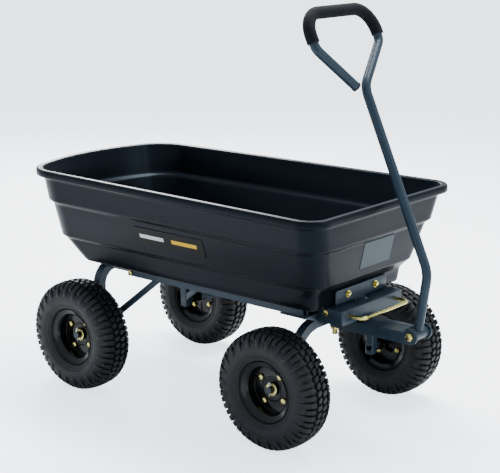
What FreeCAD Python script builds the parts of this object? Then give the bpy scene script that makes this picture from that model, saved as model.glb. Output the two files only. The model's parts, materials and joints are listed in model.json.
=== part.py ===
import FreeCAD, Part
import math
import os
import Sketcher

# Garden dump cart: a moulded plastic tub on a welded steel chassis with four pneumatic wheels.
# Millimetres. +X is forward (the handle end), +Y is left, +Z is up. The origin is on the ground
# in the middle of the cart. The tub tips backwards about pins behind the rear axle arch, the
# front axle arch steers about the kingpin, and the pull handle swings on the tongue's nose.

V = FreeCAD.Vector
doc = FreeCAD.newDocument("garden_cart")

# ---------------------------------------------------------------------------------------------
# Driving dimensions
# ---------------------------------------------------------------------------------------------
DIMENSIONS = [
    # wheels
    ("wheel_rad", 130.0), ("tyre_half", 43.0), ("track_half", 212.7), ("bead_rad", 57.0),
    ("rim_flange_rad", 66.0), ("rim_half", 30.0), ("rim_thick", 2.0), ("dish_rad", 50.0),
    ("hub_rad", 14.0), ("hub_out", 5.0), ("hub_in", 48.0), ("hub_flange_rad", 43.0),
    ("bearing_rad", 12.0), ("bearing_len", 11.0), ("spindle_rad", 8.0), ("spindle_gap", 0.05),
    ("rim_bolt_pcd", 72.0), ("rim_bolt_rad", 3.0),
    # axle positions
    ("front_axle_x", 267.0), ("rear_axle_x", -312.0),
    # axle arches
    ("arch_wide", 20.0), ("arch_thick", 21.0), ("front_arch_top", 249.0), ("front_arch_out", 152.0),
    ("rear_arch_top", 290.0), ("rear_arch_out", 160.0), ("leg_foot", 112.0), ("front_bend", 75.0),
    ("rear_bend", 55.0),
    # chassis frame
    ("rail_y", 132.0), ("rail_wide", 18.0), ("rail_high", 18.0), ("rail_top", 293.0),
    ("rail_rear_x", -216.0), ("rail_front_x", 294.0), ("rail_wall", 2.0), ("stringer_high", 14.0),
    ("bolster_rear_x", 232.0), ("bolster_front_x", 300.0), ("bolster_low", 251.0),
    ("bolster_half", 85.0), ("plate", 4.0), ("crossbar_x", 12.0), ("crossbar_wide", 18.0),
    ("crossbar_high", 13.0), ("brace_wide", 15.0), ("brace_thick", 9.0), ("brace_top_x", -128.0),
    ("brace_foot_z", 146.0),
    # latch channel
    ("channel_front_x", 366.0), ("channel_half", 110.0), ("channel_low", 258.0),
    ("channel_top", 291.0), ("channel_wall", 3.0), ("channel_bolt_back", 14.0),
    ("channel_bolt_drop", 9.0), ("bolt_rad", 3.0), ("bolt_hole_rad", 3.1),
    # latch and release wire
    ("wire_rad", 4.0), ("wire_half", 84.0), ("wire_front_x", 401.0), ("wire_z", 276.0),
    ("wire_bend", 14.0), ("latch_x", 339.0), ("latch_thick", 3.0), ("nose_long", 9.0),
    ("nose_wide", 14.0), ("nose_high", 6.0), ("spring_wire_rad", 0.6), ("spring_rad", 6.2),
    # tipping pivot
    ("pivot_x", -334.0), ("pivot_z", 280.0), ("pivot_ear_rad", 10.0), ("pivot_ear_y", 75.0),
    ("pivot_ear_thick", 6.0), ("pin_rad", 4.0), ("bracket_thick", 3.0), ("bracket_gap", 0.5),
    ("screw_reach", 44.0), ("screw_head_rad", 7.0), ("screw_head_high", 2.4),
    # steering
    ("kingpin_rad", 6.0), ("kingpin_foot", 196.0), ("spacer_long", 9.0), ("pin_gap", 0.05),
    ("tongue_top", 247.0), ("tongue_low", 222.0), ("tongue_rear_half", 33.0),
    ("tongue_front_half", 29.0), ("tongue_plate", 4.0), ("handle_x", 480.5), ("handle_z", 240.0),
    ("ear_rad", 17.0), ("pivot_bolt_rad", 5.0), ("sleeve_rad", 12.5),
    # pull handle
    ("tube_rad", 10.0), ("tube_wall", 1.6), ("foot_len", 135.6), ("foot_lean", 8.4),
    ("shaft_len", 403.0), ("shaft_lean", 24.3), ("foam_rad", 13.0),
    # tub
    ("tub_floor_z", 293.3), ("tub_wall", 4.5), ("lip_high", 17.0), ("rim_z", 510.0),
    ("rim_front_x", 406.0), ("rim_rear_x", -461.0), ("rim_bulge", 47.0), ("rim_front_half", 259.5),
    ("rim_rear_half", 232.0), ("lip_wide", 12.0),
    # labels
    ("label_gap", 0.3), ("label_thick", 0.5), ("front_label_wide", 108.0),
    ("front_label_high", 59.0), ("front_label_y", 8.75), ("front_label_z", 368.0),
    ("side_label_rear", -138.0), ("side_label_front", 66.0), ("side_label_low", 374.0),
    ("side_label_high", 415.0),
]

sheet = doc.addObject("Spreadsheet::Sheet", "dims")
for row, (alias, number) in enumerate(DIMENSIONS, start=1):
    sheet.set("A%d" % row, alias)
    sheet.set("B%d" % row, str(number))
    sheet.setAlias("B%d" % row, alias)
doc.recompute()


def size(text):
    """The number that an expression of the sheet's aliases gives."""
    return float(sheet.evalExpression(expand(text)))


def expand(text):
    """Write each alias of the sheet as dims.alias, so that other objects can be bound to it."""
    out, word = "", ""
    for letter in str(text) + " ":
        if letter.isalnum() or letter in "_.":
            word += letter
            continue
        out += ("dims." + word if word in ALIASES else word) + letter
        word = ""
    return out.strip()


ALIASES = {alias for alias, number in DIMENSIONS}
NODES = {}


def node(name, obj):
    """Give a finished sub-part its label, which names its file."""
    obj.Label = name
    NODES[name] = obj
    return obj


def put(obj, x, y, z, axis="Z"):
    """Bind an object's place to the sheet and point its own Z along an axis."""
    turns = {"Z": FreeCAD.Rotation(), "X": FreeCAD.Rotation(V(0, 1, 0), 90),
             "Y": FreeCAD.Rotation(V(1, 0, 0), -90), "-Y": FreeCAD.Rotation(V(1, 0, 0), 90)}
    obj.Placement = FreeCAD.Placement(V(), turns[axis])
    for coordinate, text in zip("xyz", (x, y, z)):
        obj.setExpression("Placement.Base." + coordinate, expand(text))
    return obj


def cylinder(rad, length, x, y, z, axis="Z"):
    obj = doc.addObject("Part::Cylinder", "cylinder")
    obj.setExpression("Radius", expand(rad))
    obj.setExpression("Height", expand(length))
    return put(obj, x, y, z, axis)


def box(length, width, height, x, y, z):
    obj = doc.addObject("Part::Box", "box")
    for side, text in (("Length", length), ("Width", width), ("Height", height)):
        obj.setExpression(side, expand(text))
    return put(obj, x, y, z)


def hexagon(across, height, x, y, z, axis="Z"):
    """A hexagonal head or nut, given its width across flats."""
    obj = doc.addObject("Part::Prism", "hexagon")
    obj.Polygon = 6
    obj.setExpression("Circumradius", expand("(%s) / 2 / cos(30)" % across))
    obj.setExpression("Height", expand(height))
    return put(obj, x, y, z, axis)


def fuse(*shapes):
    obj = doc.addObject("Part::MultiFuse", "fusion")
    obj.Shapes = list(shapes)
    obj.Refine = True
    return obj


def cut(base, *tools):
    obj = doc.addObject("Part::Cut", "cut")
    obj.Base = base
    obj.Tool = tools[0] if len(tools) == 1 else fuse(*tools)
    return obj


def group(name, *pieces):
    """Several separate solids, such as like fasteners, in one sub-part."""
    obj = doc.addObject("Part::Compound", "group")
    obj.Links = list(pieces)
    return node(name, obj)


def sketch(body, plane, points, offset="0"):
    """A closed outline on one of the body's origin planes, each corner bound to the sheet."""
    found = [f for f in body.Origin.OriginFeatures if f.Role == plane][0]
    outline = body.newObject("Sketcher::SketchObject", "outline")
    outline.AttachmentSupport = [(found, "")]
    outline.MapMode = "FlatFace"
    outline.setExpression("AttachmentOffset.Base.z", expand(offset))
    corners = [V(size(u), size(v), 0) for u, v in points]
    count = len(corners)
    for i in range(count):
        outline.addGeometry(Part.LineSegment(corners[i], corners[(i + 1) % count]), False)
    for i in range(count):
        outline.addConstraint(Sketcher.Constraint("Coincident", i, 2, (i + 1) % count, 1))
    for i, (u, v) in enumerate(points):
        for kind, text, number in (("DistanceX", u, corners[i].x), ("DistanceY", v, corners[i].y)):
            index = outline.addConstraint(Sketcher.Constraint(kind, -1, 1, i, 1, number))
            outline.setExpression("Constraints[%d]" % index, expand(text))
    return outline


def plate(plane, points, thickness, offset="0", midplane=True):
    """A body made by padding one outline."""
    body = doc.addObject("PartDesign::Body", "body")
    pad = body.newObject("PartDesign::Pad", "pad")
    pad.Profile = sketch(body, plane, points, offset)
    pad.setExpression("Length", expand(thickness))
    pad.Midplane = midplane
    body.Tip = pad
    return body


def turned(points, x="0", y="0", z="0"):
    """A ring turned about an axis along Y, from a half outline of (radius, y) corners."""
    body = doc.addObject("PartDesign::Body", "body")
    spin = body.newObject("PartDesign::Revolution", "turning")
    outline = sketch(body, "XY_Plane", points)
    spin.Profile = outline
    spin.ReferenceAxis = (outline, ["V_Axis"])
    spin.Angle = 360
    body.Tip = spin
    return put(body, x, y, z)


def round_edges(body, spots, reach=1.0):
    """Fillet straight edges of a body's last feature: spots are (point on the edge, radius)."""
    for place, rad in spots:
        doc.recompute()
        last = body.Tip
        names = []
        for index, edge in enumerate(last.Shape.Edges, start=1):
            if edge.distToShape(Part.Vertex(place))[0] < reach and edge.Length > reach:
                straight = isinstance(edge.Curve, Part.Line)
                if straight and abs(abs(edge.tangentAt(edge.FirstParameter).x) - 1) < 1e-6:
                    names.append("Edge%d" % index)
        fillet = body.newObject("PartDesign::Fillet", "bend")
        fillet.Base = (last, names)
        fillet.setExpression("Radius", expand(rad))
        body.Tip = fillet
    doc.recompute()


def solid(name, shape):
    """A sub-part whose shape is worked out below from sizes read from the sheet."""
    obj = doc.addObject("Part::Feature", name)
    obj.Shape = shape
    obj.Placement = FreeCAD.Placement()
    return obj


def bent_wire(points, radii):
    """A path of straight runs joined by tangent arcs: one radius for each inner point."""
    edges, start = [], points[0]
    for before, here, after, rad in zip(points, points[1:], points[2:], radii):
        back, ahead = (before - here).normalize(), (after - here).normalize()
        half = back.getAngle(ahead) / 2
        reach = rad / math.tan(half)
        first, last = here + back * reach, here + ahead * reach
        inward = (back + ahead).normalize()
        middle = here + inward * (rad / math.sin(half) - rad)
        edges += [Part.LineSegment(start, first).toShape(), Part.Arc(first, middle, last).toShape()]
        start = last
    edges.append(Part.LineSegment(start, points[-1]).toShape())
    return Part.Wire(edges)


def rod(path, rad):
    """A round bar that follows a path."""
    start = path.Edges[0]
    ring = Part.Wire(Part.makeCircle(rad, start.valueAt(start.FirstParameter),
                                     start.tangentAt(start.FirstParameter)))
    return path.makePipeShell([ring], True, True)


# ---------------------------------------------------------------------------------------------
# Wheels: split steel rim bolted round a flanged hub, pneumatic tyre, two bearings
# ---------------------------------------------------------------------------------------------
CORNERS = {"front_left": ("front_axle_x", 1), "front_right": ("front_axle_x", -1),
           "rear_left": ("rear_axle_x", 1), "rear_right": ("rear_axle_x", -1)}


def rim_half_outline(side):
    """Bolted web, dish wall, bead seat and flange of one rim half: side is +1 or -1."""
    corners = [("hub_rad + 0.3", "0.2"), ("dish_rad + rim_thick", "0.2"),
               ("dish_rad + rim_thick", "rim_half - 18"), ("bead_rad - 0.2", "rim_half - 14"),
               ("bead_rad - 0.2", "rim_half - rim_thick - 3"),
               ("rim_flange_rad", "rim_half - rim_thick"),
               ("rim_flange_rad", "rim_half + rim_thick + 1"),
               ("rim_flange_rad - rim_thick", "rim_half + rim_thick + 1"),
               ("rim_flange_rad - rim_thick", "rim_half + 0.5"), ("dish_rad + 4", "rim_half - 3"),
               ("dish_rad", "rim_half - 8"), ("dish_rad", "rim_thick + 0.2"),
               ("hub_rad + 0.3", "rim_thick + 0.2")]
    return [(rad, "(%s) * %d" % (y, side)) for rad, y in corners]


def make_wheel(name, axle_x, side):
    """All the pieces of one wheel, round an axis along Y at its own corner of the cart."""
    middle = "track_half * %d" % side
    place = (axle_x, middle, "wheel_rad")
    half = [("bead_rad", "rim_half - 15"), ("bead_rad", "rim_half - 5.5"),
            ("rim_flange_rad + 0.4", "rim_half - 5.5"), ("rim_flange_rad + 0.4", "rim_half + 3"),
            ("rim_flange_rad + 6", "rim_half + 8"), ("wheel_rad - 42", "tyre_half"),
            ("wheel_rad - 24", "tyre_half - 1"), ("wheel_rad - 10", "tyre_half - 6"),
            ("wheel_rad - 3", "tyre_half - 13"), ("wheel_rad", "tyre_half - 22")]
    inner = [("wheel_rad - 9", "tyre_half - 24"), ("wheel_rad - 20", "tyre_half - 10"),
             ("wheel_rad - 40", "tyre_half - 6"), ("rim_flange_rad + 9", "rim_half + 1"),
             ("bead_rad + 5", "rim_half - 15")]
    outline = half + [(rad, "-(%s)" % y) for rad, y in reversed(half)]
    cavity = [(rad, "-(%s)" % y) for rad, y in reversed(inner)]
    outline += cavity + inner
    node("tyre_" + name, turned(outline, *place))

    # The web of each rim half is pinched between the hub's flange and the other half.
    node("rim_outer_" + name, rim_with_holes(rim_half_outline(side), place))
    node("rim_inner_" + name, rim_with_holes(rim_half_outline(-side), place))

    # The hub's flange lies against the inner rim half.
    face, back = "-(rim_thick + 0.4)", "-(rim_thick + 5)"
    hub_outline = [("bearing_rad + 0.01", "-hub_in"), ("hub_rad", "-hub_in"),
                   ("hub_rad", back), ("hub_flange_rad", back), ("hub_flange_rad", face),
                   ("hub_rad", face), ("hub_rad", "hub_out"), ("bearing_rad + 0.01", "hub_out"),
                   ("bearing_rad + 0.01", "hub_out - bearing_len"),
                   ("spindle_rad + 1.5", "hub_out - bearing_len"),
                   ("spindle_rad + 1.5", "-(hub_in - bearing_len)"),
                   ("bearing_rad + 0.01", "-(hub_in - bearing_len)")]
    hub = turned([(rad, "(%s) * %d" % (y, side)) for rad, y in hub_outline], *place)
    holes = [cylinder("rim_bolt_rad + 0.1", "20", *bolt_place(place, i), axis="Y") for i in range(4)]
    for hole in holes:
        hole.setExpression("Placement.Base.y", expand("%s - 10" % middle))
    node("hub_" + name, cut(hub, *holes))

    bore, outer = "spindle_rad + spindle_gap", "bearing_rad"
    bearings = []
    for end in ("hub_out", "bearing_len - hub_in"):
        start, inward = "%s + (%s) * %d" % (middle, end, side), "-Y" if side > 0 else "Y"
        ring = cylinder(outer, "bearing_len", axle_x, start, "wheel_rad", inward)
        hole = cylinder(bore, "bearing_len", axle_x, start, "wheel_rad", inward)
        bearings.append(cut(ring, hole))
    group("bearings_" + name, *bearings)

    bolts = []
    for i in range(4):
        x, y, z = bolt_place(place, i)
        out, inw = ("Y", "-Y") if side > 0 else ("-Y", "Y")
        head_y = "%s + (rim_thick + 0.2) * %d" % (middle, side)
        nut_y = "%s - (rim_thick + 5) * %d" % (middle, side)
        shank = cylinder("rim_bolt_rad", "2 * rim_thick + 13", x, head_y, z, inw)
        head = hexagon("11", "5", x, head_y, z, out)
        nut = hexagon("10", "5", x, nut_y, z, inw)
        nut_hole = cylinder("rim_bolt_rad", "5", x, nut_y, z, inw)
        bolts += [fuse(shank, head), cut(nut, nut_hole)]
    group("rim_bolts_" + name, *bolts)


def bolt_place(place, index):
    """Centre of one of the four rim bolts, on a circle round the wheel's axis."""
    x, y, z = place
    turn = 56 + 90 * index
    return ("%s + rim_bolt_pcd / 2 * cos(%d)" % (x, turn), y,
            "%s + rim_bolt_pcd / 2 * sin(%d)" % (z, turn))


def rim_with_holes(outline, place):
    """A rim half with its four bolt holes."""
    holes = []
    for i in range(4):
        x, y, z = bolt_place(place, i)
        holes.append(cylinder("rim_bolt_rad + 0.1", "30", x, "%s - 15" % y, z, "Y"))
    return cut(turned(outline, *place), *holes)


for corner, (axle, side_sign) in CORNERS.items():
    make_wheel(corner, axle, side_sign)

# ---------------------------------------------------------------------------------------------
# Axle arches, spindles and their washers and cotter pins
# ---------------------------------------------------------------------------------------------


def make_arch(x, top, out, bend):
    """An arch of rectangular bar: crossbar, two bends and two legs that end at the spindles."""
    inside, under = "%s - arch_thick" % out, "%s - arch_thick" % top
    outline = [("-(%s)" % out, "leg_foot"), ("-(%s)" % out, top), (out, top), (out, "leg_foot"),
               (inside, "leg_foot"), (inside, under), ("-(%s)" % inside, under),
               ("-(%s)" % inside, "leg_foot")]
    body = plate("YZ_Plane", outline, "arch_wide")
    put(body, x, "0", "0")
    doc.recompute()
    spots = []
    for side in (1, -1):
        spots.append((V(size(x), side * size(out), size(top)), bend))
        spots.append((V(size(x), side * size(inside), size(under)), "%s - arch_thick" % bend))
    local = [(place - V(size(x), 0, 0), rad) for place, rad in spots]
    round_edges(body, local)
    return body


def spindle_holes(x, out):
    """Bores through both legs, where the spindles are pressed in and welded."""
    return [cylinder("spindle_rad", "arch_thick + 2", x, "%s - arch_thick - 1" % out, "wheel_rad",
                     "Y"),
            cylinder("spindle_rad", "arch_thick + 2", x, "-(%s) - 1" % out, "wheel_rad", "Y")]


def make_spindles(name, x, out):
    """Two stub axles, each with a shoulder by the leg and a cross hole for the cotter pin."""
    stubs = []
    for side in (1, -1):
        axis = "Y" if side > 0 else "-Y"
        inner = "(%s - arch_thick) * %d" % (out, side)
        length = "track_half + hub_out + 13 - (%s - arch_thick)" % out
        stub = cylinder("spindle_rad", length, x, inner, "wheel_rad", axis)
        collar = cylinder("spindle_rad + 5", "track_half - hub_in - 0.3 - (%s)" % out, x,
                          "(%s) * %d" % (out, side), "wheel_rad", axis)
        hole = cylinder("1.7", "30", x, "(track_half + hub_out + 8) * %d" % side,
                        "wheel_rad - 15")
        stubs.append(cut(fuse(stub, collar), hole))
    group(name, *stubs)


def make_retainers(end, x):
    """The washer outside each hub and the cotter pin that holds it on."""
    washers, pins = [], []
    for side in (1, -1):
        axis = "Y" if side > 0 else "-Y"
        start = "(track_half + hub_out + 0.3) * %d" % side
        ring = cylinder("spindle_rad + 6", "2.5", x, start, "wheel_rad", axis)
        bore = cylinder("spindle_rad + 0.3", "2.5", x, start, "wheel_rad", axis)
        washers.append(cut(ring, bore))
        centre = (x, "(track_half + hub_out + 8) * %d" % side)
        shank = cylinder("1.6", "26", centre[0], centre[1], "wheel_rad - 14")
        eye = cylinder("3.6", "3", centre[0], "%s - 1.5" % centre[1], "wheel_rad + 13.5", "Y")
        eye_hole = cylinder("1.6", "3", centre[0], "%s - 1.5" % centre[1], "wheel_rad + 13.5", "Y")
        pins.append(cut(fuse(shank, eye), eye_hole))
    group(end + "_axle_washers", *washers)
    group(end + "_cotter_pins", *pins)


rear_arch = make_arch("rear_axle_x", "rear_arch_top", "rear_arch_out", "rear_bend")
node("rear_axle_arch", cut(rear_arch, *spindle_holes("rear_axle_x", "rear_arch_out")))
make_spindles("rear_spindles", "rear_axle_x", "rear_arch_out")
make_retainers("rear", "rear_axle_x")

front_arch = make_arch("front_axle_x", "front_arch_top", "front_arch_out", "front_bend")
kingpin_bore = cylinder("kingpin_rad + pin_gap", "arch_thick + 4", "front_axle_x", "0",
                        "front_arch_top - arch_thick - 2")
node("front_axle_arch",
     cut(front_arch, kingpin_bore, *spindle_holes("front_axle_x", "front_arch_out")))
make_spindles("front_spindles", "front_axle_x", "front_arch_out")
make_retainers("front", "front_axle_x")

# ---------------------------------------------------------------------------------------------
# Chassis: two box rails, stringers back to the rear arch, braces, bolster and latch channel
# ---------------------------------------------------------------------------------------------
rails = []
for side in (1, -1):
    low_y = "rail_y" if side > 0 else "-(rail_y + rail_wide)"
    rail = box("rail_front_x - rail_rear_x", "rail_wide", "rail_high", "rail_rear_x", low_y,
               "rail_top - rail_high")
    hollow = box("rail_front_x - rail_rear_x", "rail_wide - 2 * rail_wall",
                 "rail_high - 2 * rail_wall", "rail_rear_x", "%s + rail_wall" % low_y,
                 "rail_top - rail_high + rail_wall")
    bolt_hole = cylinder("3.1", "rail_wide + 2", "rail_rear_x + 10", "%s - 1" % low_y,
                         "rail_top - 9", "Y")
    rails.append(cut(rail, hollow, bolt_hole))
group("frame_rails", *rails)

stringers = []
for side in (1, -1):
    low_y = "rail_y - rail_wide" if side > 0 else "-rail_y"
    bar = box("rail_rear_x + 40 - (rear_axle_x + arch_wide / 2)", "rail_wide", "stringer_high",
              "rear_axle_x + arch_wide / 2", low_y, "rail_top - 2 - stringer_high")
    hole = cylinder("3.1", "rail_wide + 2", "rail_rear_x + 10", "%s - 1" % low_y, "rail_top - 9",
                    "Y")
    stringers.append(cut(bar, hole))
group("rear_stringers", *stringers)

rail_bolts = []
for side in (1, -1):
    out, inward = ("Y", "-Y") if side > 0 else ("-Y", "Y")
    outer_y = "(rail_y + rail_wide) * %d" % side
    inner_y = "(rail_y - rail_wide) * %d" % side
    x, z = "rail_rear_x + 10", "rail_top - 9"
    bolt = fuse(hexagon("11", "5", x, outer_y, z, out),
                cylinder("3", "2 * rail_wide + 8", x, outer_y, z, inward))
    nut = cut(hexagon("10", "5", x, inner_y, z, inward), cylinder("3", "5", x, inner_y, z, inward))
    rail_bolts += [bolt, nut]
group("rail_bolts", *rail_bolts)

# The braces run from the feet of the rear legs, upwards and forwards, to the undersides of the
# rails.
foot_x = "rear_axle_x + arch_wide / 2"
braces = []
for side in (1, -1):
    outline = [(foot_x, "brace_foot_z - brace_wide"), (foot_x, "brace_foot_z + 4"),
               ("brace_top_x - brace_wide", "rail_top - rail_high"),
               ("brace_top_x + brace_wide / 2", "rail_top - rail_high")]
    middle = "(rail_y + rail_wide / 2 + 2) * %d" % -side
    braces.append(plate("XZ_Plane", outline, "brace_thick", middle))
group("rear_braces", *braces)

node("mid_crossmember",
     cut(box("crossbar_wide", "2 * (rail_y + rail_wide)", "crossbar_high", "crossbar_x",
             "-(rail_y + rail_wide)", "rail_top - rail_high - crossbar_high"),
         box("crossbar_wide - 4", "2 * (rail_y + rail_wide)", "crossbar_high", "crossbar_x + 2",
             "-(rail_y + rail_wide)", "rail_top - rail_high - crossbar_high - 2")))

# The bolster is a pressed trough: its ends slope down from the rails to a flat floor over the
# kingpin.
low, high = "bolster_low", "rail_top - rail_high"
reach = "rail_y + rail_wide"
trough = plate("YZ_Plane", [("-(%s)" % reach, high), ("-(%s)" % reach, "%s - 4" % high),
                            ("-bolster_half", low), ("bolster_half", low),
                            (reach, "%s - 4" % high), (reach, high)],
               "bolster_front_x - bolster_rear_x")
inside = plate("YZ_Plane", [("-(%s) + 8" % reach, "%s + 1" % high), ("-(%s) + 8" % reach, high),
                            ("-bolster_half + 4", "bolster_low + plate"),
                            ("bolster_half - 4", "bolster_low + plate"),
                            ("%s - 8" % reach, high), ("%s - 8" % reach, "%s + 1" % high)],
               "bolster_front_x - bolster_rear_x - 2 * plate")
for body in (trough, inside):
    put(body, "(bolster_front_x + bolster_rear_x) / 2", "0", "0")
node("front_bolster", cut(trough, inside, cylinder("kingpin_rad + 0.02", "20", "front_axle_x", "0",
                                                   "bolster_low - 5")))

# The latch channel is a bent sheet, open below: top plate with a slot for the tub's catch, and
# front and rear flanges. The release wire passes through two holes in the front flange.
shell = box("channel_front_x - bolster_front_x", "2 * channel_half", "channel_top - channel_low",
            "bolster_front_x", "-channel_half", "channel_low")
room = box("channel_front_x - bolster_front_x - 2 * channel_wall",
           "2 * (channel_half - channel_wall)", "channel_top - channel_low",
           "bolster_front_x + channel_wall", "-(channel_half - channel_wall)",
           "channel_low - channel_wall")
slot = box("19", "34", "10", "latch_x - 12", "-17", "channel_top - 6")
wire_holes = [cylinder("wire_rad + 0.3", "10", "channel_front_x - 6", "wire_half * %d" % side,
                       "wire_z", "X") for side in (1, -1)]
bolt_holes = [cylinder("bolt_hole_rad", "4 * channel_wall", "latch_x - channel_bolt_back",
                       "(channel_half - channel_wall) * %d - 2 * channel_wall" % side,
                       "channel_top - channel_bolt_drop", "Y") for side in (1, -1)]
node("latch_channel", cut(shell, room, slot, *wire_holes, *bolt_holes))

channel_bolts = []
for side in (1, -1):
    out, inward = ("Y", "-Y") if side > 0 else ("-Y", "Y")
    outer_y = "channel_half * %d" % side
    inner_y = "(channel_half - channel_wall) * %d" % side
    x, z = "latch_x - channel_bolt_back", "channel_top - channel_bolt_drop"
    bolt = fuse(hexagon("12", "5", x, outer_y, z, out),
                cylinder("bolt_rad", "12", x, outer_y, z, inward))
    nut = cut(hexagon("10", "5", x, inner_y, z, inward),
              cylinder("bolt_rad", "5", x, inner_y, z, inward))
    channel_bolts += [bolt, nut]
group("channel_bolts", *channel_bolts)

# ---------------------------------------------------------------------------------------------
# Tipping pivot: ears on the back of the rear arch, pins, and brackets under the tub
# ---------------------------------------------------------------------------------------------
ears, pins, brackets, bracket_bolts = [], [], [], []
for side in (1, -1):
    middle = "pivot_ear_y * %d" % side
    low_y = "%s - pivot_ear_thick / 2" % middle
    back_x = "rear_axle_x - arch_wide / 2"
    ear = fuse(cylinder("pivot_ear_rad", "pivot_ear_thick", "pivot_x", low_y, "pivot_z", "Y"),
               box("%s - pivot_x" % back_x, "pivot_ear_thick", "2 * pivot_ear_rad", "pivot_x",
                   low_y, "pivot_z - pivot_ear_rad"))
    ears.append(cut(ear, cylinder("pin_rad", "20", "pivot_x", "%s - 10" % middle, "pivot_z", "Y")))

    reach = "pivot_ear_thick / 2 + bracket_gap + bracket_thick"
    pin = fuse(cylinder("pin_rad", "2 * (%s) + 10" % reach, "pivot_x",
                        "%s - (%s) - 5" % (middle, reach), "pivot_z", "Y"),
               cylinder("pin_rad + 2.5", "3", "pivot_x", "%s - (%s) - 5" % (middle, reach),
                        "pivot_z", "Y"))
    pins.append(pin)

    flanges = []
    for low_edge in ("pivot_ear_thick / 2 + bracket_gap", "-(%s)" % reach):
        flange = fuse(cylinder("pivot_ear_rad - 1", "bracket_thick", "pivot_x",
                               "%s + %s" % (middle, low_edge), "pivot_z", "Y"),
                      box("2 * pivot_ear_rad - 2", "bracket_thick",
                          "tub_floor_z - 0.2 - bracket_thick + 1 - pivot_z",
                          "pivot_x - pivot_ear_rad + 1", "%s + %s" % (middle, low_edge), "pivot_z"))
        flanges.append(flange)
    base = box("64", "2 * (%s) + 2" % reach, "bracket_thick - 0.2", "pivot_x - 9",
               "%s - (%s) - 1" % (middle, reach), "tub_floor_z - bracket_thick + 0.2")
    bore = cylinder("pin_rad + pin_gap", "30", "pivot_x", "%s - 15" % middle, "pivot_z", "Y")
    spot = ("pivot_x + screw_reach", middle)
    clear = cylinder("bolt_hole_rad", "10", spot[0], spot[1], "tub_floor_z - 6")
    brackets.append(cut(fuse(base, *flanges), bore, clear))
    head = cylinder("screw_head_rad", "screw_head_high", spot[0], spot[1],
                    "tub_floor_z + tub_wall - screw_head_high")
    shank = cylinder("bolt_rad", "tub_wall + bracket_thick + 6", spot[0], spot[1],
                     "tub_floor_z - bracket_thick - 6")
    nut = cut(hexagon("10", "4", spot[0], spot[1], "tub_floor_z - bracket_thick - 4"),
              cylinder("3", "4", spot[0], spot[1], "tub_floor_z - bracket_thick - 4"))
    bracket_bolts += [fuse(head, shank), nut]
group("pivot_ears", *ears)
group("pivot_pins", *pins)
group("pivot_brackets", *brackets)
group("pivot_bracket_bolts", *bracket_bolts)

# ---------------------------------------------------------------------------------------------
# Steering: kingpin, tongue and the handle's pivot bolt
# ---------------------------------------------------------------------------------------------
head = hexagon("19", "8", "front_axle_x", "0", "bolster_low + plate")
shank = cylinder("kingpin_rad", "bolster_low + plate - kingpin_foot", "front_axle_x", "0",
                 "kingpin_foot")
nut_low = "front_arch_top - arch_thick - spacer_long - 10.3"
lock_nut = cut(hexagon("19", "10", "front_axle_x", "0", nut_low),
               cylinder("kingpin_rad", "10", "front_axle_x", "0", nut_low))
group("kingpin", fuse(head, shank), lock_nut)

washers = []
for low_z, rad, thick in (("front_arch_top + 0.1", "20", "bolster_low - front_arch_top - 0.1"),
                          ("front_arch_top - arch_thick - spacer_long - 0.2", "11",
                           "spacer_long")):
    ring = cylinder(rad, thick, "front_axle_x", "0", low_z)
    washers.append(cut(ring, cylinder("kingpin_rad", thick, "front_axle_x", "0", low_z)))
group("kingpin_washers", *washers)

# The tongue is a pressed channel, open below, that narrows to two ears for the handle.
tongue_rear = "front_axle_x + arch_wide / 2"
web_end = "handle_x - 26"
top = plate("XY_Plane", [(tongue_rear, "-tongue_rear_half"), (tongue_rear, "tongue_rear_half"),
                         (web_end, "tongue_front_half"), (web_end, "-tongue_front_half")],
            "tongue_plate", "tongue_top - tongue_plate", False)
flange_parts = []
for side in (1, -1):
    outline = [(tongue_rear, "tongue_rear_half * %d" % side),
               (tongue_rear, "(tongue_rear_half - tongue_plate) * %d" % side),
               (web_end, "(tongue_front_half - tongue_plate) * %d" % side),
               ("handle_x", "(tongue_front_half - tongue_plate) * %d" % side),
               ("handle_x", "tongue_front_half * %d" % side),
               (web_end, "tongue_front_half * %d" % side)]
    flange_parts.append(plate("XY_Plane", outline, "tongue_top - tongue_low", "tongue_low", False))
    start = "tongue_front_half - tongue_plate" if side > 0 else "-tongue_front_half"
    flange_parts.append(cylinder("ear_rad", "tongue_plate", "handle_x", start, "handle_z", "Y"))
    foot = box("26", "tongue_plate", "tongue_top - tongue_low", web_end, start, "tongue_low")
    flange_parts.append(foot)
pivot_bore = cylinder("pivot_bolt_rad", "80", "handle_x", "-40", "handle_z", "Y")
node("tongue", cut(fuse(top, *flange_parts), pivot_bore))

bolt_start = "-tongue_front_half"
pivot_bolt = fuse(hexagon("16", "6", "handle_x", bolt_start, "handle_z", "-Y"),
                  cylinder("pivot_bolt_rad", "2 * tongue_front_half + 12", "handle_x", bolt_start,
                           "handle_z", "Y"))
node("handle_pivot_bolt", pivot_bolt)
node("handle_pivot_nut",
     cut(hexagon("16", "8", "handle_x", "tongue_front_half", "handle_z", "Y"),
         cylinder("pivot_bolt_rad", "8", "handle_x", "tongue_front_half", "handle_z", "Y")))

# ---------------------------------------------------------------------------------------------
# Pull handle: sleeve, bent tube with its loop, foam grip and end cap
# ---------------------------------------------------------------------------------------------
sleeve_half = "tongue_front_half - tongue_plate - 0.5"
sleeve = cylinder("sleeve_rad", "2 * (%s)" % sleeve_half, "handle_x", "-(%s)" % sleeve_half,
                  "handle_z", "Y")
sleeve_bore = cylinder("pivot_bolt_rad + pin_gap", "60", "handle_x", "-30", "handle_z", "Y")
node("handle_sleeve", cut(sleeve, sleeve_bore))


def lean(degrees, length):
    """A step along the cart's middle plane, leaning this many degrees forward of upright."""
    angle = math.radians(degrees)
    return V(math.sin(angle) * length, 0, math.cos(angle) * length)


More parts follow.
